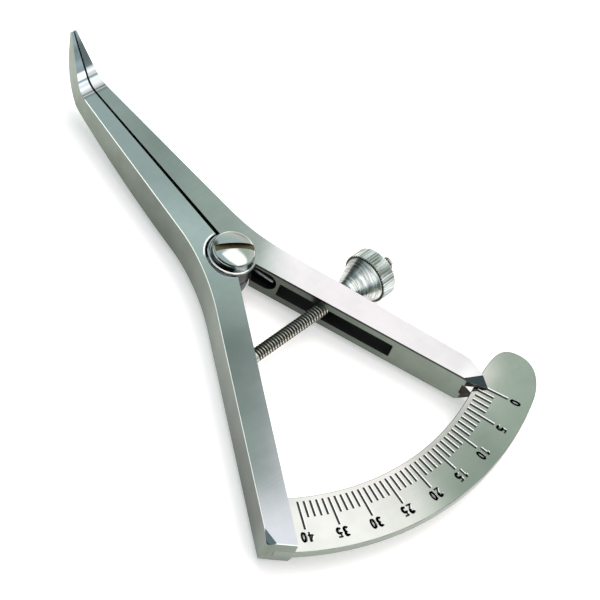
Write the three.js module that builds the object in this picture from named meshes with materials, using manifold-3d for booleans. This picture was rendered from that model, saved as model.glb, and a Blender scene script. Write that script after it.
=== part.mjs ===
// Measuring caliper with two pivoted arms, a millimetre arc plate and a thumb screw.
// Millimetres, +Z up. The origin is on the pivot axis at the underside of the arms,
// +Y points along the closed jaws to their points and +X to the moving arm's side.
import * as THREE from 'three';
import { mergeVertices } from 'three/addons/utils/BufferGeometryUtils.js';
import Module from 'manifold-3d';

const wasm = await Module();
wasm.setup();

// Arms
const armThickness = 6.0;
const slitOffset = 0.55;            // the closed jaws meet this far from the pivot axis
const slitAtPoints = 0.3;           // gap between the closed jaws near their points
const slitAtPivot = 0.7;            // and beside the pivot
const jawStraight = 37.5;           // reach of the straight part of the jaws
const jawRootReach = 8.0;           // where the jaw's back edge turns into the shoulder
const jawRootWidth = 4.8;
const jawEndWidth = 2.4;
const shoulderPull = 5.0;           // how far the shoulder curve follows its end tangents
// Points of the jaws, bent up out of the plane of the arms
const pointReach = 44.6;
const pointLift = 6.8;              // above the top of the arms
const pointWidth = 0.35;
const pointDepth = 0.4;             // thickness of the point, square to its slope
const bendStart = 36.2;             // the top face starts to turn up here
const bendReach = 37.8;             // and its two slopes would meet here
const bendDepth = 3.0;              // thickness of the jaw where it turns up
const heelReach = 10.0;             // the underside starts to rise here
const heelLift = 2.2;               // and has risen this much at the bend
// Handles
const fixedAngle = 28.6;            // inner face of the fixed arm, degrees from -Y
const fixedFace = -0.2;             // distance of that face from the pivot axis
const fixedWidth = 4.75;
const movingAngle = 24.9;
const movingFace = 0.65;
const movingWidthRoot = 5.1;
const movingWidthEnd = 4.1;
const handleRoot = 10.5;            // where the handle's straight back edge starts
const endDraw = 0.5;                // the fixed arm's end face draws in towards its back by this
const cornerRound = 0.9;            // rounding of the outer corner there
const cornerFacet = 1.2;            // depth of the facet ground on that corner
const facetLong = 2.6;              // length of the facet along the arm
const facetShort = 1.4;             // and along the end face
const undercutRise = 2.4;           // the end face leans in below this height
const undercutDepth = 0.7;
// Scale plate
const scaleInner = 44.0;
const scaleOuter = 53.72;
const scaleThickness = 1.6;
const scaleBottom = 2.2;            // above the underside of the arms
const scaleInsert = 3.2;            // how deep the plate's end goes into the fixed arm
const zeroAngle = 28.1;             // direction of the zero mark, degrees from -Y
const scaleOverrun = 10.75;         // degrees that the rounded end reaches past the zero mark
const scaleEndOuter = 0.4;          // fullness of the rounded end towards its outer side
const scaleEndInner = 0.34;         // and towards its inner side
const scaleOuterStart = 0.38;       // fullness where it leaves the outer arc
const scaleInnerStart = 0.93;       // and the inner arc
const scaleInnerTurn = 3.6;         // degrees before the zero mark where it leaves the inner arc
const joinGap = 0.05;
// Fork end of the moving arm
const pointerReach = 46.2;
const pointerTop = 44.5;            // reach of the pointer's ridge on the top face
const pointerRidgeAngle = 28.7;
const forkFloor = 42.3;
const forkGap = 0.3;
const endReach = 42.0;              // where the fork's inner bevel leaves the inner face
// Pivot lap joint and screw
const lugRadius = 4.1;
const lapGap = 0.3;
const shankRadius = 1.4;
const runGap = 0.05;
const headRadius = 3.75;
const headHeight = 2.5;
const headWall = 0.95;
const collarRadius = 3.9;
const collarHeight = 0.25;
const slotWidth = 0.85;
const slotDepth = 0.8;
const slotAngle = -29;              // direction of the screwdriver slot
// Return spring around the shank
const springRadius = 1.95;
const springWire = 0.45;
const springPitch = 0.9;
const springLean = 7.0;             // degrees that each leg leans to its arm's inner face
const springLeg = 7.6;
const springRoom = 0.3;
const springSlotEnd = 8.5;
const springSlotStart = 1.6;
const springSlotHeight = 3.7;
const springSlotFloor = 2.42;       // distance from the pivot axis
const springSlotLift = 0.35;        // the slot's middle lies this far from the mid plane
// Threaded rod, its pin and its slot in the moving arm
const pinReach = 19.5;
const pinAngle = 34.3;              // degrees from -Y, towards the fixed arm
const pinRadius = 0.8;
const pinTop = 5.0;
const rodRadius = 1.15;
const rodLength = 35.45;
const rodHeight = 2.85;
const rodAngle = 4.7;               // direction of the rod at rest, degrees from +X
const rodTravel = 26.75;            // degrees that the rod swings while the arms close
const rodChamfer = 0.3;
const eyeRadius = 1.6;
const eyeGap = 0.3;
const mouthGap = 0.45;
const rodSlotStart = 9.0;
const rodSlotEnd = 29.6;
const rodSlotHeight = 3.0;
const rodSlotCorner = 0.25;
// Thumb nut
const noseRadius = 2.1;
const noseGap = 0.45;               // between the nose and the moving arm's slot
const coneLength = 3.68;            // from the centre of the round nose to the ring
const coneRadius = 3.88;
const ringRadius = 4.28;
const ringWidth = 2.92;
const ringChamfer = 0.28;
const toothCount = 54;
const toothDepth = 0.22;

const rad = THREE.MathUtils.degToRad;
const midHeight = armThickness / 2;

// Directions on the plan: along an arm's handle, and square to it into the arm.
const along = (angle) => new THREE.Vector2(Math.sin(rad(angle)), -Math.cos(rad(angle)));
const fixedAlong = along(-fixedAngle);
const fixedInto = new THREE.Vector2(fixedAlong.y, -fixedAlong.x);
const movingAlong = along(movingAngle);
const movingInto = new THREE.Vector2(-movingAlong.y, movingAlong.x);

// A point on an arm: reach along the handle and depth from the pivot axis into the arm.
const onArm = (alongArm, intoArm, reach, depth) => new THREE.Vector2()
  .addScaledVector(alongArm, reach)
  .addScaledVector(intoArm, depth);
const onFixed = (reach, depth) => onArm(fixedAlong, fixedInto, reach, depth);
const onMoving = (reach, depth) => onArm(movingAlong, movingInto, reach, depth);

function solid(geometry) {
  const bare = geometry.clone();
  bare.deleteAttribute('normal');
  bare.deleteAttribute('uv');
  const merged = mergeVertices(bare, 1e-5);
  const mesh = new wasm.Mesh({
    numProp: 3,
    vertProperties: new Float32Array(merged.attributes.position.array),
    triVerts: new Uint32Array(merged.index.array),
  });
  return new wasm.Manifold(mesh);
}

function surface(body) {
  const mesh = body.getMesh();
  const geometry = new THREE.BufferGeometry();
  geometry.setAttribute('position', new THREE.BufferAttribute(mesh.vertProperties, 3));
  geometry.setIndex(new THREE.BufferAttribute(mesh.triVerts, 1));
  geometry.computeVertexNormals();
  return geometry;
}

// A plan outline raised from one height to another.
function prism(shape, low, high, segments = 16) {
  const geometry = new THREE.ExtrudeGeometry(shape, {
    depth: high - low,
    bevelEnabled: false,
    curveSegments: segments,
  });
  return solid(geometry.translate(0, 0, low));
}

function disc(radius, low, high, centre = new THREE.Vector2()) {
  const geometry = new THREE.CylinderGeometry(radius, radius, high - low, 64);
  geometry.rotateX(Math.PI / 2);
  return solid(geometry.translate(centre.x, centre.y, (low + high) / 2));
}

function polygon(points) {
  return new THREE.Shape(points);
}

// A box that removes everything beyond the plane through three points.
// The corners run counterclockwise seen from the side that is removed.
function beyondPlane(first, second, third, size) {
  const normal = new THREE.Vector3()
    .crossVectors(second.clone().sub(first), third.clone().sub(first))
    .normalize();
  const geometry = new THREE.BoxGeometry(size, size, size);
  const turn = new THREE.Quaternion().setFromUnitVectors(new THREE.Vector3(0, 0, 1), normal);
  geometry.applyQuaternion(turn);
  const centre = first.clone().add(second).add(third).divideScalar(3)
    .addScaledVector(normal, size / 2);
  return solid(geometry.translate(centre.x, centre.y, centre.z));
}

// Side view of a jaw, swept across the object: it limits every arm outline.
const pointTop = armThickness + pointLift;
const slope = Math.atan2(pointLift, pointReach - bendReach);
function sideLimit() {
  const farBack = scaleOuter + 10;
  const farSide = 2 * farBack;
  const bendEnd = bendReach + (bendReach - bendStart) * Math.cos(slope);
  const bendEndTop = armThickness + (bendReach - bendStart) * Math.sin(slope);
  const side = new THREE.Shape();
  side.moveTo(-farBack, 0);
  side.lineTo(-farBack, armThickness);
  side.lineTo(bendStart, armThickness);
  side.quadraticCurveTo(bendReach, armThickness, bendEnd, bendEndTop);
  side.lineTo(pointReach, pointTop);
  side.lineTo(
    pointReach + pointDepth * Math.sin(slope),
    pointTop - pointDepth * Math.cos(slope),
  );
  side.bezierCurveTo(
    bendEnd + bendDepth * 1.35,
    bendEndTop - bendDepth * 0.35,
    bendEnd + bendDepth * 0.55,
    heelLift + bendDepth * 0.35,
    bendStart,
    heelLift,
  );
  side.quadraticCurveTo((heelReach + bendStart) / 2, 0, heelReach, 0);
  side.closePath();
  const geometry = new THREE.ExtrudeGeometry(side, {
    depth: farSide,
    bevelEnabled: false,
    curveSegments: 10,
  });
  // The drawing's x and y become the object's Y and Z.
  const place = new THREE.Matrix4().makeBasis(
    new THREE.Vector3(0, 1, 0),
    new THREE.Vector3(0, 0, 1),
    new THREE.Vector3(1, 0, 0),
  );
  geometry.applyMatrix4(place);
  return solid(geometry.translate(-farBack, 0, 0));
}
const jawSide = sideLimit();

// Edge of a jaw at a reach, for side -1 (fixed arm) or 1 (moving arm).
function slitEdge(side, reach) {
  const share = (reach - lugRadius) / (jawStraight - lugRadius);
  const gap = THREE.MathUtils.lerp(slitAtPivot, slitAtPoints, Math.min(share, 1));
  return new THREE.Vector2(slitOffset + side * gap / 2, reach);
}
function backEdge(side, reach) {
  const straight = (reach - jawRootReach) / (jawStraight - jawRootReach);
  const bent = (reach - jawStraight) / (pointReach - jawStraight);
  const width = bent < 0
    ? THREE.MathUtils.lerp(jawRootWidth, jawEndWidth, straight)
    : THREE.MathUtils.lerp(jawEndWidth, pointWidth + slitAtPoints / 2, bent);
  return new THREE.Vector2(slitOffset + side * width, reach);
}

// Outline of an arm from the inner face round the end, the back and the jaw.
// The inner face and the slit meet beside the pivot, where the lap joint takes over.
function armOutline(side, intoArm, face, endPoints, backRoot, backAlong) {
  const tip = pointReach + pointDepth;
  const slitRoot = slitEdge(side, lugRadius - 0.4);
  const crotch = (face - intoArm.x * slitRoot.x) / intoArm.y;
  const shape = new THREE.Shape();
  shape.moveTo(slitRoot.x, crotch);
  endPoints(shape);
  shape.lineTo(backRoot.x, backRoot.y);
  const root = backEdge(side, jawRootReach);
  const rise = backEdge(side, jawStraight).sub(root).normalize();
  shape.bezierCurveTo(
    backRoot.x - backAlong.x * shoulderPull,
    backRoot.y - backAlong.y * shoulderPull,
    root.x - rise.x * shoulderPull,
    root.y - rise.y * shoulderPull,
    root.x,
    root.y,
  );
  for (const reach of [jawStraight, pointReach]) {
    const point = backEdge(side, reach);
    shape.lineTo(point.x, point.y);
  }
  const nearTip = backEdge(side, pointReach);
  shape.lineTo(nearTip.x, tip);
  const slitTip = slitEdge(side, tip);
  shape.lineTo(slitTip.x, slitTip.y);
  shape.lineTo(slitRoot.x, slitRoot.y);
  shape.closePath();
  return shape;
}

const fixedBackDepth = fixedFace + fixedWidth;
const fixedInnerReach = Math.sqrt(scaleOuter ** 2 - fixedFace ** 2);
const fixedEndReach = Math.sqrt((scaleOuter - endDraw) ** 2 - fixedBackDepth ** 2);
const fixedInnerEnd = onFixed(fixedInnerReach, fixedFace);
const fixedCorner = onFixed(fixedEndReach, fixedBackDepth);
const onBack = (length) => onFixed(fixedEndReach - length, fixedBackDepth);
const onEnd = (length) => fixedCorner.clone().addScaledVector(
  fixedInnerEnd.clone().sub(fixedCorner).normalize(),
  length,
);

function fixedEnd(shape) {
  const roundFrom = onEnd(cornerRound);
  const roundTo = onBack(cornerRound);
  shape.lineTo(fixedInnerEnd.x, fixedInnerEnd.y);
  shape.lineTo(roundFrom.x, roundFrom.y);
  shape.quadraticCurveTo(fixedCorner.x, fixedCorner.y, roundTo.x, roundTo.y);
}

// The moving arm's back edge tapers from the shoulder to the fork.
const movingBackEnd = onMoving(endReach - 2, movingFace + movingWidthEnd);
const movingBackRoot = onMoving(handleRoot - 3, movingFace + movingWidthRoot);
const movingBackAlong = movingBackEnd.clone().sub(movingBackRoot).normalize();
const pointer = along(zeroAngle).multiplyScalar(pointerReach);
const pointerRidge = along(pointerRidgeAngle).multiplyScalar(pointerTop);
const innerCorner = onMoving(endReach + 0.6, movingFace);
const innerCornerTop = onMoving(endReach, movingFace);
const outerCorner = movingBackEnd.clone().addScaledVector(movingAlong, 1.75)
  .addScaledVector(movingInto, -0.15);

function movingEnd(shape) {
  shape.lineTo(innerCorner.x, innerCorner.y);
  shape.lineTo(pointer.x, pointer.y);
  shape.lineTo(outerCorner.x, outerCorner.y);
  shape.lineTo(movingBackEnd.x, movingBackEnd.y);
}

const lapLow = midHeight - lapGap / 2;
const lapHigh = midHeight + lapGap / 2;
const recessRadius = lugRadius + lapGap;
const coilRoom = springWire / 2 + springRoom;
const coilStart = 180 - fixedAngle + springLean;
const coilFinish = movingAngle - springLean;
const coilSweep = coilStart - coilFinish + 360;
const coilRise = springPitch * coilSweep / 360;
const springLow = midHeight - coilRise / 2;
const springHigh = midHeight + coilRise / 2;

// Slot in an arm's inner face with rounded far corners, cut from the face into the arm.
function faceSlot(alongArm, intoArm, face, depth, from, to, low, high, corner) {
  const half = (high - low) / 2;
  const slot = new THREE.Shape();
  slot.moveTo(from, -half);
  slot.lineTo(to - corner, -half);
  slot.absarc(to - corner, corner - half, corner, -Math.PI / 2, 0, false);
  slot.absarc(to - corner, half - corner, corner, 0, Math.PI / 2, false);
  slot.lineTo(from, half);
  slot.closePath();
  const geometry = new THREE.ExtrudeGeometry(slot, {
    depth,
    bevelEnabled: false,
    curveSegments: corner > 1 ? 8 : 4,
  });
  const side = intoArm.x * alongArm.y - intoArm.y * alongArm.x;
  const place = new THREE.Matrix4().makeBasis(
    new THREE.Vector3(alongArm.x, alongArm.y, 0),
    new THREE.Vector3(0, 0, side),
    new THREE.Vector3(intoArm.x, intoArm.y, 0),
  );
  geometry.applyMatrix4(place);
  geometry.translate(intoArm.x * face, intoArm.y * face, (low + high) / 2);
  return solid(geometry);
}

// Pin of the rod, and the pocket that lets the rod swing.
const pinCentre = along(-pinAngle).multiplyScalar(pinReach);
const rodDirection = new THREE.Vector2(Math.cos(rad(rodAngle)), Math.sin(rad(rodAngle)));
const pocketLow = rodHeight - rodRadius - eyeGap;
const pocketHigh = rodHeight + rodRadius + eyeGap;

function rodPocket() {
  const half = rodRadius + mouthGap;
  const reach = pinReach;
  const open = rad(rodAngle);
  const closed = rad(rodAngle - rodTravel);
  const middle = (open + closed) / 2;
  const mouth = [
    new THREE.Vector2(-half * Math.sin(open), half * Math.cos(open)),
    new THREE.Vector2(-half * Math.cos(middle), -half * Math.sin(middle)),
    new THREE.Vector2(half * Math.sin(closed), -half * Math.cos(closed)),
    new THREE.Vector2(
      reach * Math.cos(closed) + half * Math.sin(closed),
      reach * Math.sin(closed) - half * Math.cos(closed),
    ),
    new THREE.Vector2(
      reach * Math.cos(open) - half * Math.sin(open),
      reach * Math.sin(open) + half * Math.cos(open),
    ),
  ].map((point) => point.add(pinCentre));
  return prism(polygon(mouth), pocketLow, pocketHigh)
    .add(disc(eyeRadius + eyeGap, pocketLow, pocketHigh, pinCentre));
}

// Outline of the scale plate, grown by a clearance.
const scaleTop = scaleBottom + scaleThickness;
function scaleOutline(grow) {
  const inner = scaleInner - grow;
  const outer = scaleOuter + grow;
  const depth = fixedFace + scaleInsert + grow;
  const innerStart = onFixed(Math.sqrt(inner ** 2 - depth ** 2), depth);
  const outerStart = onFixed(Math.sqrt(outer ** 2 - depth ** 2), depth);
  const innerFrom = rad(zeroAngle - scaleInnerTurn - 90);
  const outerFrom = rad(zeroAngle + scaleOverrun * 0.18 - 90);
  const roundTo = rad(zeroAngle + scaleOverrun - 90);
  const middle = (scaleInner + scaleOuter) / 2 + 0.15;
  const tip = new THREE.Vector2(middle * Math.cos(roundTo), middle * Math.sin(roundTo));
  const outward = new THREE.Vector2(Math.cos(roundTo - 0.12), Math.sin(roundTo - 0.12));
  const across = scaleOuter - scaleInner;
  const onArc = (radius, angle, ahead) => new THREE.Vector2(
    radius * Math.cos(angle) - ahead * Math.sin(angle),
    radius * Math.sin(angle) + ahead * Math.cos(angle),
  );
  const outerLead = onArc(outer, outerFrom, across * scaleOuterStart);
  const innerLead = onArc(inner, innerFrom, across * scaleInnerStart);
  const innerEnd = onArc(inner, innerFrom, 0);
  const shape = new THREE.Shape();
  shape.moveTo(innerStart.x, innerStart.y);
  shape.lineTo(outerStart.x, outerStart.y);
  shape.absarc(0, 0, outer, Math.atan2(outerStart.y, outerStart.x), outerFrom, false);
  shape.bezierCurveTo(
    outerLead.x,
    outerLead.y,
    tip.x + outward.x * across * scaleEndOuter,
    tip.y + outward.y * across * scaleEndOuter,
    tip.x,
    tip.y,
  );
  shape.bezierCurveTo(
    tip.x - outward.x * across * scaleEndInner,
    tip.y - outward.y * across * scaleEndInner,
    innerLead.x,
    innerLead.y,
    innerEnd.x,
    innerEnd.y,
  );
  shape.absarc(0, 0, inner, innerFrom, Math.atan2(innerStart.y, innerStart.x), true);
  shape.closePath();
  return shape;
}

// The plate's inserted end is ground flush with the arm's end face.
function scalePlate() {
  const middle = onEnd(fixedWidth / 2);
  return prism(scaleOutline(0), scaleBottom, scaleTop, 48).subtract(beyondPlane(
    new THREE.Vector3(fixedInnerEnd.x, fixedInnerEnd.y, 0),
    new THREE.Vector3(middle.x, middle.y, armThickness),
    new THREE.Vector3(fixedCorner.x, fixedCorner.y, 0),
    fixedWidth * 2,
  ));
}

function fixedArm() {
  const backRoot = onFixed(handleRoot, fixedBackDepth);
  const outline = armOutline(-1, fixedInto, fixedFace, fixedEnd, backRoot, fixedAlong);
  const facetTop = onBack(facetLong);
  const facetEnd = onEnd(facetShort);
  const undercutBack = onEnd(-1).addScaledVector(fixedAlong, -undercutDepth);
  const undercutInner = fixedInnerEnd.clone().addScaledVector(fixedAlong, -undercutDepth);
  const undercutTop = onEnd(fixedWidth / 2);
  return prism(outline, -1, pointTop + 1)
    .add(disc(lugRadius, -1, lapLow + 1))
    .intersect(jawSide)
    .subtract(disc(recessRadius, lapLow, pointTop))
    .subtract(disc(shankRadius + runGap, -1, lapLow + 1))
    .subtract(disc(springRadius + coilRoom, springLow - coilRoom, lapLow + 1))
    .subtract(faceSlot(
      fixedAlong,
      fixedInto,
      fixedFace - 1,
      springSlotFloor - fixedFace + 1,
      springSlotStart,
      springSlotEnd,
      midHeight - springSlotLift - springSlotHeight / 2,
      midHeight - springSlotLift + springSlotHeight / 2,
      springSlotHeight / 2,
    ))
    .subtract(rodPocket())
    .subtract(disc(pinRadius + runGap, -1, pinTop, pinCentre))
    .subtract(prism(scaleOutline(joinGap), scaleBottom - joinGap, scaleTop + joinGap, 48))
    .subtract(beyondPlane(
      new THREE.Vector3(facetTop.x, facetTop.y, armThickness),
      new THREE.Vector3(fixedCorner.x, fixedCorner.y, armThickness - cornerFacet),
      new THREE.Vector3(facetEnd.x, facetEnd.y, armThickness),
      facetLong * 2,
    ))
    .subtract(beyondPlane(
      new THREE.Vector3(undercutInner.x, undercutInner.y, 0),
      new THREE.Vector3(undercutTop.x, undercutTop.y, undercutRise),
      new THREE.Vector3(undercutBack.x, undercutBack.y, 0),
      fixedWidth * 2,
    ));
}

function movingArm() {
  const outline = armOutline(1, movingInto, movingFace, movingEnd, movingBackRoot, movingBackAlong);
  const forkLow = scaleBottom - forkGap;
  const forkHigh = scaleTop + forkGap;
  const tine = armThickness - forkHigh;
  const flat = (point, height) => new THREE.Vector3(point.x, point.y, height);
  const bevelOuter = outerCorner.clone().addScaledVector(movingInto, -0.15);
  const faces = (top, step) => [
    [flat(innerCornerTop, top), flat(pointerRidge, top), flat(pointer, top - step)],
    [flat(pointerRidge, top), flat(bevelOuter, top), flat(pointer, top - step)],
  ];
  let arm = prism(outline, -1, pointTop + 1)
    .add(disc(lugRadius, lapHigh - 1, pointTop))
    .intersect(jawSide)
    .subtract(disc(recessRadius, -1, lapHigh))
    .subtract(disc(shankRadius + runGap, lapHigh - 1, armThickness + 1))
    .subtract(disc(springRadius + coilRoom, lapHigh - 1, springHigh + coilRoom))
    .subtract(faceSlot(
      movingAlong,
      movingInto,
      movingFace - 1,
      springSlotFloor - movingFace + 1,
      springSlotStart,
      springSlotEnd,
      midHeight + springSlotLift - springSlotHeight / 2,
      midHeight + springSlotLift + springSlotHeight / 2,
      springSlotHeight / 2,
    ))
    .subtract(faceSlot(
      movingAlong,
      movingInto,
      movingFace - 1,
      movingWidthRoot + 3,
      rodSlotStart,
      rodSlotEnd,
      rodHeight - rodSlotHeight / 2,
      rodHeight + rodSlotHeight / 2,
      rodSlotCorner,
    ))
    .subtract(disc(scaleOuter + 2, forkLow, forkHigh).subtract(disc(forkFloor, 0, armThickness)));
  for (const [first, second, third] of faces(armThickness, tine)) {
    arm = arm.subtract(beyondPlane(first, third, second, 7));
  }
  const lowTine = forkLow;
  for (const [first, second, third] of faces(0, -lowTine)) {
    arm = arm.subtract(beyondPlane(first, second, third, 7));
  }
  return arm;
}

function pivotScrew() {
  const seat = armThickness + runGap;
  const profile = [new THREE.Vector2(0, 0), new THREE.Vector2(shankRadius, 0)];
  profile.push(new THREE.Vector2(shankRadius, seat));
  profile.push(new THREE.Vector2(collarRadius, seat));
  profile.push(new THREE.Vector2(collarRadius, seat + collarHeight));
  profile.push(new THREE.Vector2(headRadius, seat + collarHeight));
  const wallTop = seat + collarHeight + headWall;
  const dome = headHeight - collarHeight - headWall;
  for (let step = 0; step < 10; step += 1) {
    const turn = step / 10 * Math.PI / 2;
    profile.push(new THREE.Vector2(
      headRadius * Math.cos(turn) ** 0.8,
      wallTop + dome * Math.sin(turn),
    ));
  }
  profile.push(new THREE.Vector2(0, wallTop + dome));
  const head = solid(new THREE.LatheGeometry(profile, 64).rotateX(Math.PI / 2));
  const cut = new THREE.BoxGeometry(3 * headRadius, slotWidth, 2 * slotDepth);
  cut.rotateZ(rad(slotAngle));
  return head.subtract(solid(cut.translate(0, 0, seat + headHeight)));
}

// One wire: leg in the fixed arm, coil round the shank, leg in the moving arm.
class SpringPath extends THREE.Curve {
  getPoint(share, target = new THREE.Vector3()) {
    const coil = springRadius * rad(coilSweep);
    const total = coil + 2 * springLeg;
    const travel = share * total;
    const onCoil = THREE.MathUtils.clamp(travel - springLeg, 0, coil);
    const angle = rad(coilStart - coilSweep * onCoil / coil);
    const height = springLow + coilRise * onCoil / coil;
    const extra = travel < springLeg ? travel - springLeg : Math.max(travel - springLeg - coil, 0);
    return target.set(
      springRadius * Math.cos(angle) + extra * Math.sin(angle),
      springRadius * Math.sin(angle) - extra * Math.cos(angle),
      height,
    );
  }
}

function returnSpring() {
  const path = new SpringPath();
  const section = new THREE.Shape();
  section.absarc(0, 0, springWire / 2, 0, 2 * Math.PI, false);
  const steps = 110;
  const points = path.getPoints(400);
  let least = Infinity;
  points.forEach((first, index) => {
    points.slice(index + 1).forEach((second, ahead) => {
      if ((ahead + 1) * springLeg / 100 > springRadius * 3) {
        least = Math.min(least, first.distanceTo(second) - springWire);
      }
    });
  });
  console.log(`spring: least gap to itself ${least.toFixed(2)} mm`);
  return solid(new THREE.ExtrudeGeometry(section, {
    steps,
    curveSegments: 8,
    extrudePath: path,
  }));
}

// Along the rod's own axis: pin at zero, free end at the rod's length.
const along3 = new THREE.Matrix4().makeRotationZ(rad(rodAngle))
  .setPosition(pinCentre.x, pinCentre.y, rodHeight);

function turned(profile, segments) {
  const points = profile.map(([reach, radius]) => new THREE.Vector2(radius, reach));
  return new THREE.LatheGeometry(points, segments).rotateZ(-Math.PI / 2);
}

function adjustingRod() {
  const bar = solid(turned([
    [0, 0],
    [0, rodRadius],
    [rodLength - rodChamfer, rodRadius],
    [rodLength, rodRadius - rodChamfer],
    [rodLength, 0],
  ], 48));
  return bar
    .add(disc(eyeRadius, -rodRadius, rodRadius))
    .subtract(disc(pinRadius + runGap, -2 * rodRadius, 2 * rodRadius));
}

// The nose of the nut bears on the edges of the rod slot. Its centre at rest:
const wallNormal = new THREE.Vector2(-movingBackAlong.y, movingBackAlong.x);
const wallDistance = movingBackRoot.dot(wallNormal);
const noseLift = Math.sqrt((noseRadius + noseGap) ** 2 - (rodSlotHeight / 2) ** 2);
const noseReach = (wallDistance + noseLift - pinCentre.dot(wallNormal))
  / rodDirection.dot(wallNormal);

function thumbNut() {
  const bore = rodRadius + runGap;
  const profile = [];
  const noseStart = Math.asin(bore / noseRadius);
  const rim = Math.hypot(coneLength, coneRadius);
  const noseFinish = Math.PI - Math.atan2(coneRadius, coneLength) - Math.acos(noseRadius / rim);
  for (let step = 0; step <= 8; step += 1) {
    const turn = noseStart + (noseFinish - noseStart) * step / 8;
    profile.push([-noseRadius * Math.cos(turn), noseRadius * Math.sin(turn)]);
  }
  profile.push([coneLength, coneRadius]);
  profile.push([coneLength + ringWidth, coneRadius]);
  profile.push([coneLength + ringWidth, bore]);
  profile.push([-noseRadius * Math.cos(noseStart), bore]);
  const body = solid(turned(profile, 64));
  // Straight knurl: teeth on the outline of the ring.
  const outline = [];
  for (let tooth = 0; tooth < toothCount * 2; tooth += 1) {
    const turn = tooth * Math.PI / toothCount;
    const radius = tooth % 2 ? ringRadius - toothDepth : ringRadius;
    outline.push(new THREE.Vector2(radius * Math.cos(turn), radius * Math.sin(turn)));
  }
  const knurl = new THREE.ExtrudeGeometry(polygon(outline), {
    depth: ringWidth,
    bevelEnabled: false,
  });
  knurl.rotateY(Math.PI / 2).translate(coneLength, 0, 0);
  const blank = solid(turned([
    [coneLength, noseRadius],
    [coneLength, ringRadius - ringChamfer],
    [coneLength + ringChamfer, ringRadius + 0.01],
    [coneLength + ringWidth - ringChamfer, ringRadius + 0.01],
    [coneLength + ringWidth, ringRadius - ringChamfer],
    [coneLength + ringWidth, noseRadius],
    [coneLength, noseRadius],
  ], 64));
  return body.add(solid(knurl).intersect(blank));
}

const steel = (name, color, roughness) => new THREE.MeshStandardMaterial({
  name,
  color,
  roughness,
  metalness: 1,
});
const satin = steel('satin stainless steel', 0xa9b2ae, 0.34);
const polished = steel('polished stainless steel', 0xc3c8c2, 0.18);
const turnedSteel = steel('turned stainless steel', 0xb9beb8, 0.26);
const threaded = steel('threaded steel', 0x9a9788, 0.35);
const springSteel = steel('spring steel', 0x8d8f8c, 0.3);

const caliper = new THREE.Group();
function place(name, body, material, parent = caliper) {
  const mesh = new THREE.Mesh(surface(body), material);
  mesh.name = name;
  parent.add(mesh);
  return mesh;
}

place('fixed_arm', fixedArm(), satin);
place('scale_plate', scalePlate(), satin.clone());
place('pivot_screw', pivotScrew(), polished);
place('rod_pin', disc(pinRadius, 0, pinTop - runGap, pinCentre), turnedSteel.clone());
place('return_spring', returnSpring(), springSteel);
place('moving_arm', movingArm(), satin.clone());

const rodGroup = new THREE.Group();
rodGroup.applyMatrix4(along3);
caliper.add(rodGroup);
place('adjusting_rod', adjustingRod(), threaded, rodGroup);
const nut = place('thumb_nut', thumbNut(), turnedSteel, rodGroup);
nut.position.x = noseReach;

export default caliper;
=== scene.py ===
import math

import bmesh
import bpy
import numpy as np
from mathutils import Matrix, Vector


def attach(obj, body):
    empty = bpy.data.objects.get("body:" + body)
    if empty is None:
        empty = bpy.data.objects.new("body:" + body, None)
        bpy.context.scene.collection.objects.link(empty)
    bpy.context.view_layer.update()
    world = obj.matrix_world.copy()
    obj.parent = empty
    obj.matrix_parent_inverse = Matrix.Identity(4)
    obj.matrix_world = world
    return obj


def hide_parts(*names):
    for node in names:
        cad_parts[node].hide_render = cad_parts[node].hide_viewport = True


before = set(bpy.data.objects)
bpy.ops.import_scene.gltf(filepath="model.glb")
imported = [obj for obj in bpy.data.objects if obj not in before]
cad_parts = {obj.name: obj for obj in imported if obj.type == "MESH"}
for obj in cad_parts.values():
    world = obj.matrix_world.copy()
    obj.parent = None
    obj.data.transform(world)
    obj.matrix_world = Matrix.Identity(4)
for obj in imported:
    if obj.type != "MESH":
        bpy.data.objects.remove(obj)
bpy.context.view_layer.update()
mm = 0.001


def direction(azimuth, elevation):
    # unit vector, azimuth from +X towards +Y, both in degrees
    a, e = math.radians(azimuth), math.radians(elevation)
    return Vector((math.cos(e) * math.cos(a), math.cos(e) * math.sin(a), math.sin(e)))


def addPiece(name, points, faces, body, replaces=()):
    # points in millimetres in the row frame, faces as rows of vertex numbers
    mesh = bpy.data.meshes.new(name)
    mesh.from_pydata((np.asarray(points, float) * mm).tolist(), [], np.asarray(faces).tolist())
    piece = bpy.data.objects.new(name, mesh)
    bpy.context.scene.collection.objects.link(piece)
    settle(piece, body, replaces)
    return piece


def settle(piece, body, replaces=()):
    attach(piece, body)
    if replaces:
        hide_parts(*replaces)


def gridFaces(rows, columns, wrapColumns=False):
    # quads of a rows x columns grid of points, whose last column can join the first
    i = np.arange(rows - 1)[:, None]
    j = np.arange(columns if wrapColumns else columns - 1)[None, :]
    nextColumn = (j + 1) % columns
    corners = (
        i * columns + j, i * columns + nextColumn,
        (i + 1) * columns + nextColumn, (i + 1) * columns + j)
    return np.stack(np.broadcast_arrays(*corners), axis=-1).reshape(-1, 4)


def close(piece, angle, merge=1e-6):
    # merges doubled points, turns faces outward and shades smooth below an angle
    shape = bmesh.new()
    shape.from_mesh(piece.data)
    bmesh.ops.remove_doubles(shape, verts=shape.verts, dist=merge)
    bmesh.ops.dissolve_degenerate(shape, edges=shape.edges, dist=merge)
    bmesh.ops.recalc_face_normals(shape, faces=shape.faces)
    shape.to_mesh(piece.data)
    shape.free()
    piece.data.shade_smooth()
    piece.data.set_sharp_from_angle(angle=math.radians(angle))


def bevelEdges(piece, width, segments, angle=30, material=-1):
    edge = piece.modifiers.new("edges", "BEVEL")
    edge.width = width * mm
    edge.segments = segments
    edge.limit_method = "ANGLE"
    edge.angle_limit = math.radians(angle)
    edge.harden_normals = True
    edge.material = material
    edge.miter_outer = "MITER_ARC"


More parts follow.
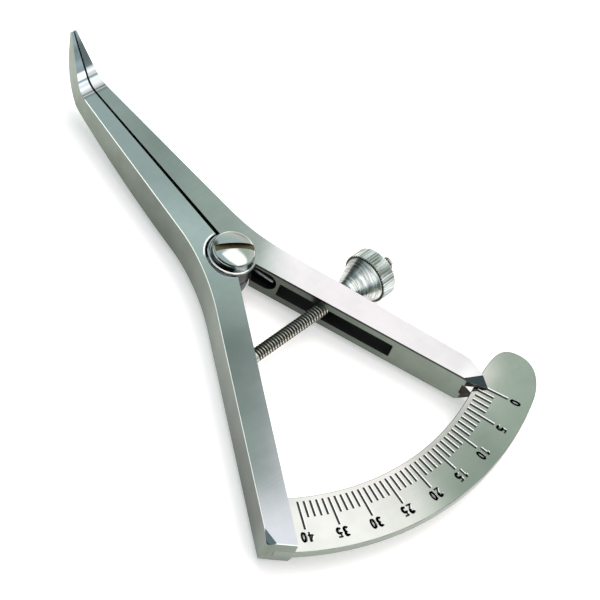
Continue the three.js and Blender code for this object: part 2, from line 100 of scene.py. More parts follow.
def dressedCopy(node, name, body, flatten=0.3, merge=2e-6):
    # a CAD node's own shape as one merged piece with whole faces, ready for bevelled edges
    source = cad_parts[node]
    piece = bpy.data.objects.new(name, source.data.copy())
    bpy.context.scene.collection.objects.link(piece)
    piece.data.materials.clear()
    shape = bmesh.new()
    shape.from_mesh(piece.data)
    bmesh.ops.remove_doubles(shape, verts=shape.verts, dist=merge)
    bmesh.ops.dissolve_limit(
        shape, angle_limit=math.radians(flatten), verts=shape.verts, edges=shape.edges)
    shape.to_mesh(piece.data)
    shape.free()
    settle(piece, body, (node,))
    return piece


def lathe(profile, turns, modulation=None):
    # surface of revolution round the local X axis: profile rows are (reach, radius), and
    # modulation(reach, radius, angle) gives the radius to use at each point
    profile = np.asarray(profile, float)
    angle = np.linspace(0, 2 * np.pi, turns, endpoint=False)
    reach, radius = profile[:, 0][:, None], profile[:, 1][:, None]
    radius = radius + 0 * angle if modulation is None else modulation(reach, radius, angle[None, :])
    points = np.stack([
        reach + 0 * angle, radius * np.cos(angle), radius * np.sin(angle)], axis=-1)
    return points.reshape(-1, 3), gridFaces(len(profile), turns, wrapColumns=True)


class Nodes:
    # shorthand for building a shader
    def __init__(self, tree):
        self.tree = tree
        tree.nodes.clear()

    def add(self, kind, inputs=None, **settings):
        node = self.tree.nodes.new(kind)
        for key, value in settings.items():
            setattr(node, key, value)
        for key, value in (inputs or {}).items():
            self.put(value, node.inputs[key])
        return node

    def put(self, value, socket):
        if isinstance(value, bpy.types.NodeSocket):
            self.tree.links.new(value, socket)
        elif isinstance(value, bpy.types.Node):
            self.tree.links.new(value.outputs[0], socket)
        else:
            socket.default_value = value

    def math(self, operation, *values):
        node = self.add("ShaderNodeMath", operation=operation)
        for value, socket in zip(values, node.inputs):
            self.put(value, socket)
        return node.outputs[0]

    def mixColor(self, factor, first, second, blend="MIX"):
        node = self.add("ShaderNodeMix", data_type="RGBA", blend_type=blend)
        sockets = (node.inputs[0], node.inputs[6], node.inputs[7])
        for value, socket in zip((factor, first, second), sockets):
            self.put(value, socket)
        return node.outputs[2]

    def ramp(self, factor, low, high):
        # 0 below low, 1 above high, smooth between
        node = self.add("ShaderNodeMapRange", interpolation_type="SMOOTHSTEP")
        for value, socket in zip((factor, low, high), node.inputs):
            self.put(value, socket)
        return node.outputs[0]

    def along(self, place, axis):
        # how far a place lies along an axis
        node = self.add("ShaderNodeVectorMath", {0: place, 1: tuple(axis)}, operation="DOT_PRODUCT")
        return node.outputs["Value"]

    def crescent(self, place, inner, outer, azimuth, low, high, fade=0.04):
        # 1 between two radii round the pivot, fading in from low to high along an azimuth
        flat = self.add("ShaderNodeVectorMath", {0: place, 1: (1, 1, 0)}, operation="MULTIPLY")
        length = self.add("ShaderNodeVectorMath", {0: flat.outputs[0]}, operation="LENGTH")
        away = length.outputs["Value"]
        lean = self.along(place, direction(azimuth, 0))
        ring = self.math("SUBTRACT", 1.0, self.ramp(away, outer * mm, (outer + fade) * mm))
        if inner > 0:
            ring = self.math("MULTIPLY", ring, self.ramp(away, (inner - fade) * mm, inner * mm))
        return self.math("MULTIPLY", ring, self.ramp(lean, low * mm, high * mm))

    def drift(self, place, axis, stops):
        # painted light and shade that follows a direction of the piece, from stops of (millimetres,
        # shade)
        first, last = stops[0][0], stops[-1][0]
        share = self.add("ShaderNodeMapRange", {
            "Value": self.along(place, axis), "From Min": first * mm, "From Max": last * mm})
        node = self.add("ShaderNodeValToRGB", {"Fac": share})
        node.color_ramp.interpolation = "EASE"
        marks = node.color_ramp.elements
        marks[0].position, marks[1].position = 0, 1
        marks[0].color, marks[1].color = ((stops[k][1],) * 3 + (1,) for k in (0, -1))
        for reach, shade in stops[1:-1]:
            marks.new((reach - first) / (last - first)).color = (shade, shade, shade, 1)
        return node.outputs[0]


def rgba(color):
    return (*color, 1.0)


# noise settings, and the colours of painted shade, of painted glints and of a painted highlight line
finishing = dict(
    streakDetail=3.0, streakRoughness=0.6, cloudDetail=2.0, cloudLow=0.35, cloudHigh=0.7,
    paintedShade=(0.01, 0.01, 0.01), paintedGlint=(0.97, 0.98, 0.97), lit=(0.86, 0.95, 0.88), litFade=0.3,
    mottleScale=2500.0, mottleDetail=2.0, mottleDark=0.8)


def steelFinish(name, look):
    # ground or turned steel: fine streaks along one direction vary its colour, gloss and relief
    material = bpy.data.materials.new(name)
    material.use_nodes = True
    n = Nodes(material.node_tree)
    place = n.add("ShaderNodeTexCoord").outputs["Object"]
    streak = n.add("ShaderNodeMapping", {
        "Vector": place,
        "Rotation": (0, 0, math.radians(-look["grain"])),
        "Scale": look["stretch"],
    })
    fine = n.add("ShaderNodeTexNoise", {
        "Vector": streak, "Scale": 1.0, "Detail": finishing["streakDetail"],
        "Roughness": finishing["streakRoughness"]})
    cloud = n.add("ShaderNodeTexNoise", {
        "Vector": place, "Scale": look["cloudScale"], "Detail": finishing["cloudDetail"]})
    share = fine.outputs["Fac"]
    if "streaks" in look:
        share = n.ramp(share, *look["streaks"])
    base = n.mixColor(share, rgba(look["dark"]), rgba(look["light"]))
    shade = n.ramp(cloud.outputs["Fac"], finishing["cloudLow"], finishing["cloudHigh"])
    base = n.mixColor(n.math("MULTIPLY", shade, look["clouding"]), base, rgba(look["cloud"]))
    # painted light and shade along directions of the piece
    for axis, stops in look.get("paintedRamps", ()):
        base = n.mixColor(1.0, base, n.drift(place, axis, stops), "MULTIPLY")
    metal = look.get("metal", 1.0)
    if "well" in look:
        # painted shade within a radius of the pivot, from low to high along an azimuth
        radius, azimuth, low, high = look["well"]
        paintedShade = n.crescent(place, 0.0, radius, azimuth, low, high)
        base = n.mixColor(paintedShade, base, rgba(finishing["paintedShade"]))
    if "paintedGlint" in look:
        # a painted highlight: a bright dull ring between two radii, from low to high along an azimuth
        ring = n.crescent(place, *look["paintedGlint"])
        base = n.mixColor(ring, base, rgba(finishing["paintedGlint"]))
        metal = n.math("SUBTRACT", metal, ring)
    if "litEdge" in look:
        # a painted highlight along a wall's upper edge, from low to high, that ends before the bend
        low, high, finish = look["litEdge"]
        line = n.ramp(n.along(place, upWay), low * mm, high * mm)
        before = n.ramp(n.along(place, jawWay), finish * mm, (finish - finishing["litFade"]) * mm)
        line = n.math("MULTIPLY", line, before)
        base = n.mixColor(line, base, rgba(finishing["lit"]))
    gloss = n.math("MULTIPLY_ADD", fine.outputs["Fac"], look["glossSpread"], look["gloss"])
    relief = n.add("ShaderNodeBump", {
        "Strength": 1.0, "Distance": look["relief"] * mm, "Height": fine.outputs["Fac"]})
    if "turnUp" in look:
        # the bend runs on into the point: the square of what is left of the way from start to end
        start, end, rise = look["turnUp"]
        left = n.add("ShaderNodeMapRange", {
            "Value": n.along(place, jawWay), "From Min": end * mm, "From Max": start * mm})
        swell = n.math("MULTIPLY", left.outputs[0], left.outputs[0])
        relief = n.add("ShaderNodeBump", {
            "Strength": 1.0, "Distance": rise * mm, "Height": swell,
            "Normal": relief.outputs["Normal"]})
    shader = n.add("ShaderNodeBsdfPrincipled", {
        "Base Color": base, "Metallic": metal, "Roughness": gloss,
        "Normal": relief.outputs["Normal"]})
    out = n.add("ShaderNodeOutputMaterial")
    n.put(shader.outputs["BSDF"], out.inputs["Surface"])
    return material


def plainFinish(name, color, roughness, metallic=0.0):
    # a filled surface, a dark patch of painted shade or a pale painted glint, with a faint mottle
    material = bpy.data.materials.new(name)
    material.use_nodes = True
    n = Nodes(material.node_tree)
    place = n.add("ShaderNodeTexCoord").outputs["Object"]
    mottle = n.add("ShaderNodeTexNoise", {
        "Vector": place, "Scale": finishing["mottleScale"], "Detail": finishing["mottleDetail"]})
    dark = [channel * finishing["mottleDark"] for channel in color]
    base = n.mixColor(mottle.outputs["Fac"], rgba(dark), rgba(color))
    shader = n.add("ShaderNodeBsdfPrincipled", {
        "Base Color": base, "Metallic": metallic, "Roughness": roughness})
    out = n.add("ShaderNodeOutputMaterial")
    n.put(shader.outputs["BSDF"], out.inputs["Surface"])
    return material


satinLook = dict(
    dark=(0.56, 0.598, 0.608), light=(0.61, 0.65, 0.66), cloud=(0.495, 0.54, 0.55),
    grain=0, stretch=(60, 2600, 2600), cloudScale=260, clouding=0.4,
    gloss=0.045, glossSpread=0.01, relief=0.0)

# walls: rougher steel, darker than the tops partly as painted shade
sideLook = dict(
    satinLook, dark=(0.262, 0.303, 0.258), light=(0.31, 0.358, 0.305), cloud=(0.226, 0.264, 0.215),
    clouding=0.6, gloss=0.28, glossSpread=0.03, stretch=(90, 1500, 1500), relief=0.002)

# directions along the two handles, and into the moving arm
fixedWay = tuple(direction(-118.6, 0))
movingWay = tuple(direction(-65.1, 0))
movingInto = tuple(direction(24.9, 0))
upWay = (0.0, 0.0, 1.0)
jawWay = (0.0, 1.0, 0.0)
plateWay = (1.0, 0.0, 0.0)
rodAcross = (-0.064, 0.777, 0.627)   # square to the rod, upward to its far side

# stops of (millimetres, shade) for painted light and shade: along each handle with the jaws below 0,
# across the bend, and across the rod and the nut
fixedTopShades = [
    (-30, 1.0), (-17, 0.96), (-4.4, 1.28), (7, 0.94), (18, 0.56), (27, 0.66), (36.5, 0.79),
    (44, 0.8), (54, 0.87)]
movingTopShades = [
    (-31, 0.9), (-20, 0.74), (-8, 0.93), (0, 0.93), (2.6, 0.88), (6, 1.18), (14, 1.0), (36, 1.02),
    (40, 1.05), (43, 1.27), (46, 1.32)]
fixedBendShades = [
    (35.8, 1.0), (36.5, 0.6), (37.1, 0.65), (37.7, 1.05), (38.1, 0.8), (38.5, 1.05), (38.9, 1.15),
    (39.5, 1.2), (39.9, 0.8), (40.8, 0.95), (41.6, 0.7), (42.4, 0.62), (43.4, 0.95)]
movingBendShades = [
    (35.8, 1.0), (36.5, 0.6), (37.1, 0.7), (37.7, 1.05), (38.7, 1.1), (39.1, 0.75), (39.5, 1.15),
    (39.8, 0.9), (40.3, 0.5), (41.1, 0.4), (42.6, 0.42), (44.0, 0.85)]
fixedSideShades = [
    (-40, 0.87), (-27, 0.74), (-11, 0.52), (14, 0.72), (30, 0.48), (37, 0.36), (46, 0.36), (54, 0.72)]
movingSideShades = [(-40, 0.8), (-5, 0.6), (8, 0.3), (16, 0.36), (33, 0.64), (42, 0.78)]
plateShades = [
    (-30, 0.96), (-18, 1.0), (-7, 0.94), (-1, 1.02), (5, 0.86), (14, 0.83), (21, 1.0), (29, 1.04)]
rodShades = [(-11.2, 0.12), (-10.8, 0.4), (-10.4, 0.95), (-9.5, 0.95), (-9.15, 0.45), (-8.9, 0.2)]
coneShades = [(-13.9, 0.5), (-12.4, 0.8), (-11.6, 1.1), (-8.8, 1.05), (-7.9, 0.68), (-6.1, 0.42)]
headShades = [(2.1, 1.0), (3.05, 0.42), (3.7, 0.42)]
wallShades = [(-3.6, 0.55), (-2.7, 0.1), (1.0, 0.12), (2.4, 0.6), (3.7, 0.8)]
# a painted shade line along the top of the moving arm's wall
edgeShadeLine = [(5.5, 1.0), (5.6, 0.2), (6.2, 0.2)]

finishes = {
    # the fixed arm's top: a painted glint round the recess edge, and painted light and shade along
    # the handle and across the bend
    "fixedTop": steelFinish("groundSteelFixed", dict(
        satinLook, dark=(0.552, 0.598, 0.635), light=(0.6, 0.65, 0.69), cloud=(0.488, 0.54, 0.575),
        grain=61.4, turnUp=(38.9, 40.1, 0.29), paintedGlint=(4.5, 4.68, 122, 3.75, 4.2),
        paintedRamps=[(fixedWay, fixedTopShades), (jawWay, fixedBendShades)])),
    # the moving arm's top: painted shade in a ring beside the screw head, and painted light and shade
    # along the handle and across the bend
    "movingTop": steelFinish("groundSteelMoving", dict(
        satinLook, grain=-65.1, well=(4.12, 140, 0.9, 1.7), turnUp=(38.9, 40.3, 0.34),
        paintedRamps=[(movingWay, movingTopShades), (jawWay, movingBendShades)])),
    # the plate's top: painted light and shade across it
    "plateTop": steelFinish("groundSteelPlate", dict(
        satinLook, dark=(0.565, 0.6, 0.565), light=(0.615, 0.65, 0.615), cloud=(0.5, 0.54, 0.51),
        grain=0, stretch=(300, 2200, 2200), paintedRamps=[(plateWay, plateShades)])),
    # walls: painted shade along each handle; a painted highlight line on the fixed wall's upper edge,
    # a painted shade line on the moving one's
    "fixedSide": steelFinish("sideSteelFixed", dict(
        sideLook, grain=61.4, litEdge=(5.7, 5.8, 36.2), paintedRamps=[(fixedWay, fixedSideShades)])),
    "movingSide": steelFinish("sideSteelMoving", dict(
        sideLook, grain=-65.1, paintedRamps=[(movingWay, movingSideShades), (upWay, edgeShadeLine)])),
    # the plate's walls: darker steel, partly painted shade
    "plateSide": steelFinish("sideSteelPlate", dict(
        sideLook, dark=(0.2, 0.235, 0.2), light=(0.26, 0.3, 0.26), grain=0)),
    # bevelled edges: a white, unmetallic painted highlight on the fixed arm; on the moving arm a
    # brighter steel as painted highlight, with painted shade on its inner edge
    "fixedEdge": steelFinish("edgeHighlightFixed", dict(
        satinLook, dark=(0.9, 0.92, 0.91), light=(0.97, 0.98, 0.97), gloss=0.4, metal=0.0)),
    "movingEdge": steelFinish("edgeHighlightShadeMoving", dict(
        satinLook, dark=(0.8, 0.83, 0.8), light=(0.9, 0.93, 0.9), gloss=0.4,
        paintedRamps=[(movingInto, [(0.9, 0.06), (1.2, 0.85), (9, 0.85)])])),
    # pale, nearly unmetallic steel round the pivot, with painted shade in the gap beside the head
    "recess": steelFinish("recessShadeSteel", dict(
        satinLook, dark=(0.78, 0.81, 0.79), light=(0.88, 0.9, 0.89), gloss=0.3, metal=0.1,
        well=(9, 14, -3.5, -3.1))),
    # darker, bluer steel on the pointer's bevels as painted shade
    "pointer": steelFinish("pointerShadeSteel", dict(
        satinLook, dark=(0.26, 0.31, 0.37), light=(0.32, 0.38, 0.44), cloud=(0.2, 0.24, 0.29),
        grain=-65.1, gloss=0.12)),
    # the plate's bevelled edges: darker steel as a painted shade outline
    "plateEdge": steelFinish("edgeShadePlate", dict(
        satinLook, dark=(0.2, 0.2, 0.18), light=(0.3, 0.3, 0.27), gloss=0.3)),
    # the screw head: painted shade towards its far side, a darker rim, and painted shade across its
    # skirt along one azimuth
    "screw": steelFinish("polishedSteel", dict(
        satinLook, dark=(0.62, 0.64, 0.59), light=(0.68, 0.69, 0.65), gloss=0.12, glossSpread=0.03,
        paintedRamps=[(tuple(direction(29, 0)), headShades)])),
    "screwRim": steelFinish("screwRimShadeSteel", dict(
        satinLook, dark=(0.27, 0.29, 0.26), light=(0.31, 0.33, 0.3), gloss=0.16)),
    "screwWall": steelFinish("screwWallShadeSteel", dict(
        satinLook, gloss=0.12, paintedRamps=[(tuple(direction(-60, 0)), wallShades)])),
    "turned": steelFinish("turnedSteel", dict(
        satinLook, dark=(0.45, 0.48, 0.45), light=(0.74, 0.76, 0.73), grain=4.7,
        stretch=(3600, 500, 500), gloss=0.14, glossSpread=0.1)),
    # the nut's cone and the rod: painted light and shade across them, square to the rod
    "cone": steelFinish("turnedCone", dict(
        satinLook, dark=(0.42, 0.44, 0.41), light=(0.95, 0.96, 0.94), grain=4.7, clouding=0.15,
        stretch=(4200, 420, 420), streaks=(0.36, 0.64), gloss=0.16, glossSpread=0.16,
        paintedRamps=[(rodAcross, coneShades)])),
    "knurl": steelFinish("knurledSteel", dict(
        satinLook, dark=(0.48, 0.5, 0.46), light=(1.0, 1.0, 1.0), grain=4.7,
        stretch=(120, 1100, 1100), streaks=(0.4, 0.64), gloss=0.2, clouding=0.0)),
    "thread": steelFinish("threadSteel", dict(
        satinLook, dark=(0.62, 0.59, 0.5), light=(0.78, 0.75, 0.66), gloss=0.22,
        paintedRamps=[(rodAcross, rodShades)])),
    "wire": steelFinish("springWire", dict(
        satinLook, dark=(0.45, 0.46, 0.45), light=(0.55, 0.56, 0.55), gloss=0.2)),
    "pocket": plainFinish("pocketShade", (0.012, 0.012, 0.01), 0.6, 0.4),
    "tine": plainFinish("tineShade", (0.06, 0.05, 0.042), 0.4, 0.9),
    "groove": plainFinish("grooveShade", (0.13, 0.11, 0.055), 0.4, 0.8),
    "rootShade": plainFinish("threadRootShade", (0.05, 0.043, 0.03), 0.45, 0.7),
    "rimShade": plainFinish("rimShade", (0.05, 0.055, 0.042), 0.35, 0.9),
    "fill": plainFinish("markFill", (0.02, 0.012, 0.01), 0.55),
    "paintedGlint": plainFinish("paintedMarkGlint", (0.93, 0.96, 0.94), 0.3, 0.2),
}


def sortFaces(piece, top, side, edge, hidden=None, limit=0.6):
    # faces that look up take the first finish and walls the second; the broken edges made later
    # take the fourth, and hidden(index, centres, up) renumbers the faces of cut-outs and pointer
    for finish in (top, side, "pocket", edge, "tine", "pointer", "recess"):
        piece.data.materials.append(finishes[finish])
    count = len(piece.data.polygons)
    normals, centres = np.empty(count * 3, np.float32), np.empty(count * 3, np.float32)
    piece.data.polygons.foreach_get("normal", normals)
    piece.data.polygons.foreach_get("center", centres)
    up, centres = normals[2::3], centres.reshape(-1, 3) / mm
    index = np.where(up < limit, 1, 0)
    if hidden:
        index = hidden(index, centres, up)
    piece.data.polygons.foreach_set("material_index", index.astype(np.int32))


arms = dict(
    edge=0.2, plateEdge=0.12, edgeSteps=3, pinEdge=0.12, sharp=25, recess=4.6, recessTop=5.9,
    cutInner=0.08, cutOuter=0.1, cutStart=1, cutLow=0.3, cutHigh=5.6,
    fork=41.3, tineTop=5, bevelLow=3.9, bevelLeast=0.3, bevelMost=0.97,
    fixed=dict(angle=-28.6, side=-1, inner=-0.2, outer=4.55, far=22.6),
    moving=dict(angle=24.9, side=1, inner=0.65, outer=4.7, far=30.5))


def cutOuts(arm):
    # numbers the faces inside an arm, which take finishes with painted shade: its slots and pocket 2,
    # the dark side of its fork 4, the bevels of its pointer 5 and the walls round the pivot 6
    a = math.radians(arm["angle"])
    alongArm = np.array([math.sin(a), -math.cos(a)])
    intoArm = arm["side"] * np.array([-alongArm[1], alongArm[0]])

    def hidden(index, centres, up):
        reach, depth, height = centres[:, :2] @ alongArm, centres[:, :2] @ intoArm, centres[:, 2]
        inside = (depth > arm["inner"] + arms["cutInner"]) & (depth < arm["outer"] - arms["cutOuter"])
        inside &= (reach > arms["cutStart"]) & (reach < arm["far"])
        inside &= (height > arms["cutLow"]) & (height < arms["cutHigh"])
        well = np.hypot(centres[:, 0], centres[:, 1]) < arms["recess"]
        well &= (height > arms["cutLow"]) & (height < arms["recessTop"])
        fork = centres[:, :2] @ np.array(movingWay[:2]) > arms["fork"]
        bevel = fork & (height > arms["bevelLow"])
        bevel &= (up > arms["bevelLeast"]) & (up < arms["bevelMost"])
        index = np.where(fork & (height < arms["tineTop"]) & (index == 1), 4, index)
        index = np.where(bevel, 5, index)
        return np.where(inside, 2, np.where(well, 6, index))
    return hidden


fixedArm = dressedCopy("fixed_arm", "fixedArmDressed", "fixed")
sortFaces(fixedArm, "fixedTop", "fixedSide", "fixedEdge", cutOuts(arms["fixed"]))
movingArm = dressedCopy("moving_arm", "movingArmDressed", "moving")
sortFaces(movingArm, "movingTop", "movingSide", "movingEdge", cutOuts(arms["moving"]))
scalePlate = dressedCopy("scale_plate", "scalePlateDressed", "fixed")
sortFaces(scalePlate, "plateTop", "plateSide", "plateEdge")
rodPin = dressedCopy("rod_pin", "rodPinDressed", "fixed")
rodPin.data.materials.append(finishes["turned"])
for piece, width in (
        (fixedArm, arms["edge"]), (movingArm, arms["edge"]),
        (scalePlate, arms["plateEdge"]), (rodPin, arms["pinEdge"])):
    piece.data.shade_smooth()
    piece.data.set_sharp_from_angle(angle=math.radians(arms["sharp"]))
    bevelEdges(piece, width, arms["edgeSteps"], material=3 if piece is not rodPin else -1)
print("arms, plate and pin done")


screw = dict(
    radius=3.58, wallTop=7.25, rise=1.3, power=2.1, slotWidth=1.12, slotFloor=7.75,
    slotAngle=-29, rimStart=3.36, lines=26, slotLines=5, chord=44, wallBands=3,
    edge=0.05, edgeSteps=2, edgeAngle=50, sharp=32,
    below=[(3.63, 7.1), (3.78, 6.45), (3.82, 6.36), (4.0, 6.28), (4.04, 6.2), (4.0, 6.05),
           (1.4, 6.05), (1.4, 0.1), (1.3, 0.0), (0.0, 0.0)])


def domeHeight(radius):
    # height of the domed head over the arms at a distance from its axis
    share = np.clip(radius / screw["radius"], 0, 1)
    return screw["wallTop"] + screw["rise"] * np.sqrt(1 - share ** screw["power"])


half = screw["slotWidth"] / 2
turn = np.linspace(math.asin(half / screw["radius"]), math.pi / 2, screw["lines"])
outerLines = screw["radius"] * np.sin(turn)
slotLines = np.linspace(-half, half, screw["slotLines"])
across = np.concatenate([-outerLines[::-1], slotLines, outerLines])[:, None]
inSlot = np.concatenate([0 * outerLines, 0 * slotLines + 1, 0 * outerLines])[:, None] > 0
chordShare = np.sin(np.linspace(-math.pi / 2, math.pi / 2, screw["chord"]))[None, :]
alongSlot = chordShare * np.sqrt(np.maximum(screw["radius"] ** 2 - across ** 2, 0))
top = domeHeight(np.hypot(alongSlot, across))
top = np.where(inSlot, np.minimum(top, screw["slotFloor"]), top)
dome = np.stack([alongSlot, across + 0 * alongSlot, top], axis=-1)
rim = np.concatenate([dome[:, -1], dome[::-1, 0]])
skirt = [np.column_stack([rim[:, :2] * radius / screw["radius"], np.full(len(rim), height)])
         for radius, height in screw["below"]]
domeFaces = gridFaces(*dome.shape[:2])
skirtFaces = gridFaces(len(skirt) + 1, len(rim), wrapColumns=True) + dome.shape[0] * dome.shape[1]
points = np.concatenate([dome.reshape(-1, 3), rim] + skirt)
spin = math.radians(screw["slotAngle"])
points[:, :2] = points[:, :2] @ np.array([
    [math.cos(spin), math.sin(spin)], [-math.sin(spin), math.cos(spin)]])
pivotScrew = addPiece(
    "pivotScrew", points, np.concatenate([domeFaces, skirtFaces]), "fixed",
    ("pivot_screw",))
for finish in ("screw", "groove", "tine", "screwWall", "screwRim"):
    pivotScrew.data.materials.append(finishes[finish])
# the slot's floor and walls, the skirt and the rim take the darker finishes of painted shade
floorRows = inSlot[:-1, 0] & inSlot[1:, 0]
wallRows = inSlot[:-1, 0] ^ inSlot[1:, 0]
domeSlots = np.repeat(floorRows + 2 * wallRows, screw["chord"] - 1)
domeSlots[dome[:-1, :-1, 2].reshape(-1) < screw["slotFloor"] - 1e-6] = 0
middles = (dome[:-1, :-1] + dome[1:, :-1] + dome[:-1, 1:] + dome[1:, 1:]).reshape(-1, 3) / 4
domeSlots[(np.hypot(middles[:, 0], middles[:, 1]) > screw["rimStart"]) & (domeSlots == 0)] = 4
skirtSlots = np.where(np.arange(len(skirtFaces)) // len(rim) < screw["wallBands"], 3, 0)
pivotScrew.data.polygons.foreach_set(
    "material_index", np.concatenate([domeSlots, skirtSlots]).astype(np.int32))
close(pivotScrew, screw["sharp"])
bevelEdges(pivotScrew, screw["edge"], screw["edgeSteps"], screw["edgeAngle"])
print("pivot screw done")


rod = dict(
    pin=(-10.989, -16.109), height=2.85, angle=4.7, start=1.0, length=35.45, radius=1.15,
    chamfer=0.3, pitch=0.57, threadDepth=0.25, flank=1.35, crest=0.2, plain=3.4, runIn=0.6,
    stepsPerTurn=44, stepsPerPitch=12, sharp=60, rootDepth=0.1, brightStart=2, brightEnd=8,
    eyeRadius=1.6, eyeBore=0.87, eyeTurns=64, eyeSharp=30)


def onRod(points):
    # from the rod's own axis (X along it from the pin) to the row frame
    place = Matrix.Translation((*rod["pin"], rod["height"])) @ Matrix.Rotation(
        math.radians(rod["angle"]), 4, "Z")
    return np.asarray(points) @ np.array(place)[:3, :3].T + np.array(place)[:3, 3]


def threadRadius(reach, radius, angle):
    # a vee thread: the radius falls with the distance from the crest of the helix
    phase = (reach / rod["pitch"] - angle / (2 * np.pi)) % 1.0
    groove = 1 - np.abs(2 * phase - 1)
    depth = rod["threadDepth"] * np.clip(rod["flank"] * groove - rod["crest"], 0, 1)
    start = np.clip((reach - rod["plain"]) / rod["runIn"], 0, 1)
    return np.minimum(radius, rod["radius"] - depth * start)


steps = int(rod["length"] / rod["pitch"] * rod["stepsPerPitch"])
reach = np.linspace(rod["start"], rod["length"], steps)
outer = np.minimum(rod["radius"], rod["radius"] - rod["chamfer"] + (rod["length"] - reach))
bar = np.column_stack([reach, outer])
bar = np.vstack([[rod["start"], 0.0], bar, [rod["length"], 0.0]])
points, faces = lathe(bar, rod["stepsPerTurn"], threadRadius)
threadedRod = addPiece(
    "threadedRod", onRod(points), faces, "rod", ("adjusting_rod",))
threadedRod.data.materials.append(finishes["thread"])
threadedRod.data.materials.append(finishes["rootShade"])
# thread roots away from the ends take the painted shade of rootShade
radii = np.hypot(points[:, 1], points[:, 2])[faces].mean(axis=1)
isRoot = radii < rod["radius"] - rod["rootDepth"]
isRoot &= faces.min(axis=1) > rod["brightStart"] * rod["stepsPerTurn"]
isRoot &= faces.max(axis=1) < len(points) - rod["brightEnd"] * rod["stepsPerTurn"]
threadedRod.data.polygons.foreach_set("material_index", isRoot.astype(np.int32))
close(threadedRod, rod["sharp"])

eye = [[-rod["radius"], rod["eyeBore"]], [-rod["radius"], rod["eyeRadius"]],
       [rod["radius"], rod["eyeRadius"]], [rod["radius"], rod["eyeBore"]],
       [-rod["radius"], rod["eyeBore"]]]
points, faces = lathe(eye, rod["eyeTurns"])
points = onRod(points[:, [2, 1, 0]])
rodEye = addPiece("rodEye", points, faces, "rod")
rodEye.data.materials.append(finishes["turned"])
close(rodEye, rod["eyeSharp"])
print("rod done")


nut = dict(
    reach=25.799, nose=2.1, bore=1.2, cone=3.68, coneRadius=3.88, ring=4.28, width=2.92,
    chamfer=0.14, teeth=54, toothDepth=0.3, toothFlank=1.6, toothTop=0.35, toothClear=0.02,
    stepsPerTooth=8, rimWidth=0.16, noseSteps=14, sharp=24)


def knurlRadius(reach, radius, angle):
    # flat-topped teeth: a clipped triangle wave taken off the rim only
    wave = np.abs(((angle * nut["teeth"] / (2 * np.pi)) % 1.0) * 2 - 1)
    tooth = nut["toothDepth"] * np.clip(nut["toothFlank"] * wave - nut["toothTop"], 0, 1)
    onRing = radius > nut["coneRadius"] + nut["toothClear"]
    return np.where(onRing, np.minimum(radius, nut["ring"] - tooth), radius)


noseStart = math.asin(nut["bore"] / nut["nose"])
noseFinish = math.pi - math.atan2(nut["coneRadius"], nut["cone"]) - math.acos(
    nut["nose"] / math.hypot(nut["cone"], nut["coneRadius"]))
turn = np.linspace(noseStart, noseFinish, nut["noseSteps"])
profile = [[-nut["nose"] * math.cos(t), nut["nose"] * math.sin(t)] for t in turn]
noseRows = len(profile)
first = nut["cone"]
last = first + nut["width"]
rim = nut["ring"]
profile += [[first - 0.02, nut["coneRadius"] - 0.01], [first, nut["coneRadius"]]]
rimRow = len(profile)
profile += [[first + 0.001, rim - nut["chamfer"]], [first + nut["rimWidth"], rim]]
profile += [[first + nut["width"] / 2, rim], [last - nut["chamfer"], rim]]
profile += [[last, rim - nut["chamfer"]], [last, nut["bore"]], profile[0]]
columns = nut["teeth"] * nut["stepsPerTooth"]
points, faces = lathe(profile, columns, knurlRadius)
points[:, 0] += nut["reach"]
thumbNut = addPiece("thumbNut", onRod(points), faces, "nut", ("thumb_nut",))
for finish in ("cone", "rimShade", "knurl"):
    thumbNut.data.materials.append(finishes[finish])
rows = np.arange(len(faces)) // columns
shaded = (rows == noseRows - 2) | (rows == rimRow - 1) | (rows == rimRow)
ringFaces = (rows > rimRow) & (rows < rimRow + 4)
thumbNut.data.polygons.foreach_set(
    "material_index", np.where(ringFaces, 2, shaded).astype(np.int32))
close(thumbNut, nut["sharp"])
print("thumb nut done")


spring = dict(
    radius=1.95, wire=0.45, pitch=0.9, leg=7.6, start=180 - 28.6 + 7.0, finish=24.9 - 7.0,
    middle=3.0, steps=220, sides=14, sharp=50, stays=300, overlap=62, innerWire=0.96)


def springPath(share):
    # leg, coil and leg of one wire; share runs from 0 to 1 along it
    sweep = math.radians(spring["start"] - spring["finish"] + 360)
    coil = spring["radius"] * sweep
    rise = spring["pitch"] * sweep / (2 * math.pi)
    travel = share * (coil + 2 * spring["leg"])
    onCoil = np.clip(travel - spring["leg"], 0, coil)
    angle = math.radians(spring["start"]) - sweep * onCoil / coil
    beyond = np.where(travel < spring["leg"], travel - spring["leg"],
                      np.maximum(travel - spring["leg"] - coil, 0))
    return np.column_stack([
        spring["radius"] * np.cos(angle) + beyond * np.sin(angle),
        spring["radius"] * np.sin(angle) - beyond * np.cos(angle),
        spring["middle"] - rise / 2 + rise * onCoil / coil])


def tube(path, radius, sides):
    # circles square to a path, closed by a point at each end
    tangent = np.gradient(path, axis=0)
    tangent /= np.linalg.norm(tangent, axis=1)[:, None]
    across = np.cross(tangent, [0, 0, 1.0])
    across /= np.linalg.norm(across, axis=1)[:, None]
    up = np.cross(across, tangent)
    angle = np.linspace(0, 2 * np.pi, sides, endpoint=False)[None, :, None]
    ring = np.cos(angle) * across[:, None, :] + np.sin(angle) * up[:, None, :]
    body = path[:, None, :] + radius * ring
    ends = [np.repeat(path[k][None, None, :], sides, axis=1) for k in (0, -1)]
    points = np.concatenate([ends[0], body, ends[1]])
    return points.reshape(-1, 3), gridFaces(len(points), sides, wrapColumns=True)


def shareAt(degrees):
    # share of the wire's length at which the coil has turned through an angle
    turned = spring["radius"] * math.radians(degrees)
    coil = spring["radius"] * math.radians(spring["start"] - spring["finish"] + 360)
    return (spring["leg"] + turned) / (coil + 2 * spring["leg"])


